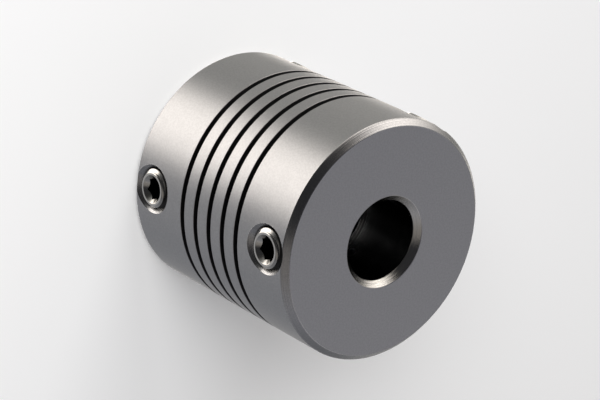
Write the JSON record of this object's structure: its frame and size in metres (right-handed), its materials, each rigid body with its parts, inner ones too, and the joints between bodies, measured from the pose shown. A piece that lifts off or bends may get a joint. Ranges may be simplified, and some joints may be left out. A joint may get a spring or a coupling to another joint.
{
  "type": "helical beam coupling",
  "caption": "Flexible shaft coupling: a stubby metal cylinder with a through bore, a helical slit between its hubs and recessed hex-socket set screws.",
  "frame": {"origin": "middle of the base hub's end face, on the bore's axis", "axes": "+Z along the bore, from the base hub to the top hub (the end that faces the viewer in the picture); -Y points out through the front set screws"},
  "size_m": [0.03, 0.03, 0.03],
  "materials": {
    "body_metal": "satin, fine bead-blasted grey metal",
    "screw_metal": "bright turned metal"
  },
  "bodies": {
    "root": {"coupling_body": "body_metal", "top_front_screw": "screw_metal", "top_side_screw": "screw_metal", "base_front_screw": "screw_metal", "base_side_screw": "screw_metal"}
  },
  "joints": []
}
